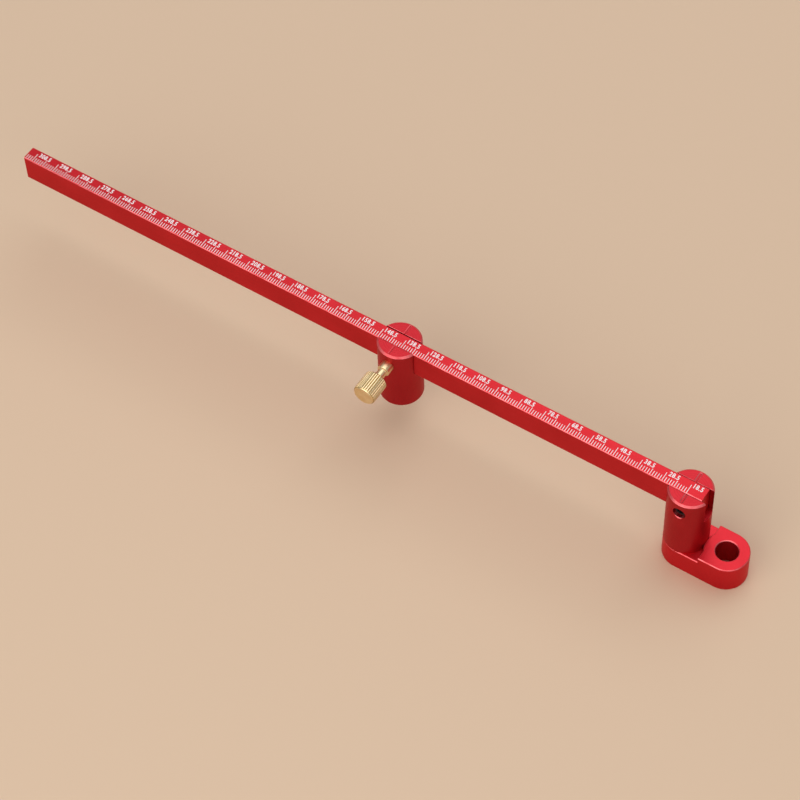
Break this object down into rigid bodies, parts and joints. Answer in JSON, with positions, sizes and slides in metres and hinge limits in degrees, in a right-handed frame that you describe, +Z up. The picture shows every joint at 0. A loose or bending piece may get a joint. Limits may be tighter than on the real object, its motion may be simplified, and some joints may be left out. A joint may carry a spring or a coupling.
{
  "type": "beam compass ruler",
  "caption": "Circle-drawing ruler: a slim beam with a millimetre scale, a pencil holder clamped on one end, and a sliding needle block locked by a knurled thumb screw.",
  "frame": {"origin": "on the axis of the pencil bore, at table level under the foot", "axes": "+Z up along the pencil bore; +X along the beam, from the needle block towards the pencil; the screws face -Y"},
  "size_m": [0.3191, 0.0332, 0.0413],
  "materials": {
    "anodised_heads": "red anodised, satin",
    "anodised_beam": "red anodised, satin",
    "turned_brass": "turned and knurled, bright",
    "needle_steel": "ground, hardened",
    "black_steel": "black oxide",
    "scale_marking": "marked white, matt"
  },
  "bodies": {
    "holder": {"pencil_holder": "anodised_heads"},
    "grub": {"grub_screw": "black_steel"},
    "beam": {"beam": "anodised_beam"},
    "pivot": {"pivot_block": "anodised_heads", "pivot_needle": "needle_steel"},
    "thumb": {"thumb_screw": "turned_brass"}
  },
  "joints": [
    {"name": "beam_slide", "type": "slide", "parent": "holder", "child": "beam", "axis": [1, 0, 0], "range_m": [-0.0025, 0.006]},
    {"name": "block_slide", "type": "slide", "parent": "beam", "child": "pivot", "axis": [1, 0, 0], "range_m": [-0.162, 0.099]},
    {"name": "thumb_turn", "type": "hinge", "parent": "pivot", "child": "thumb", "pos_m": [-0.1392, -0.02, 0.035], "axis": [0, -1, 0], "range_deg": [0, 360]},
    {"name": "grub_turn", "type": "hinge", "parent": "holder", "child": "grub", "pos_m": [-0.0166, -0.005, 0.035], "axis": [0, -1, 0], "range_deg": [0, 360]}
  ]
}
